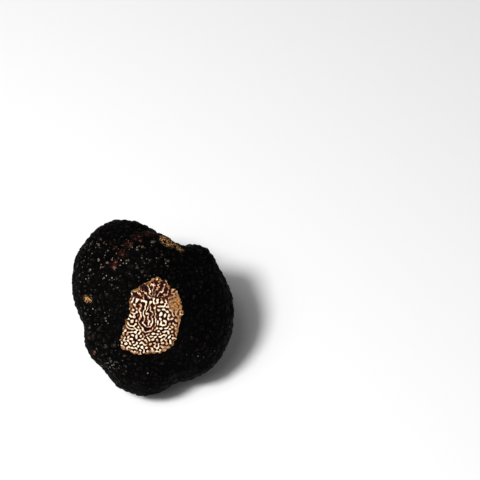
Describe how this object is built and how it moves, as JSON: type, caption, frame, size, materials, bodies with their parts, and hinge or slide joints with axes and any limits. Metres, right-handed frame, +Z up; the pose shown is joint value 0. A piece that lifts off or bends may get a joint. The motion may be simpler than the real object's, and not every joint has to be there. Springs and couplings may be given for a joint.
{
  "type": "black truffle",
  "caption": "Whole lobed black truffle with fine warty skin, nicked with a knife to show its veined flesh; stands on a small flat spot.",
  "frame": {"origin": "under the middle of the truffle's box, on the surface it rests on", "axes": "+Z up from the flat spot; the nicked face looks towards -Y and up; +X is to the right seen from that side"},
  "size_m": [0.0452, 0.0458, 0.0387],
  "materials": {
    "truffle_body": "matte black warty skin with pale specks; cream veins on dark brown flesh where it is nicked"
  },
  "bodies": {
    "root": {"truffle": "truffle_body"}
  },
  "joints": []
}
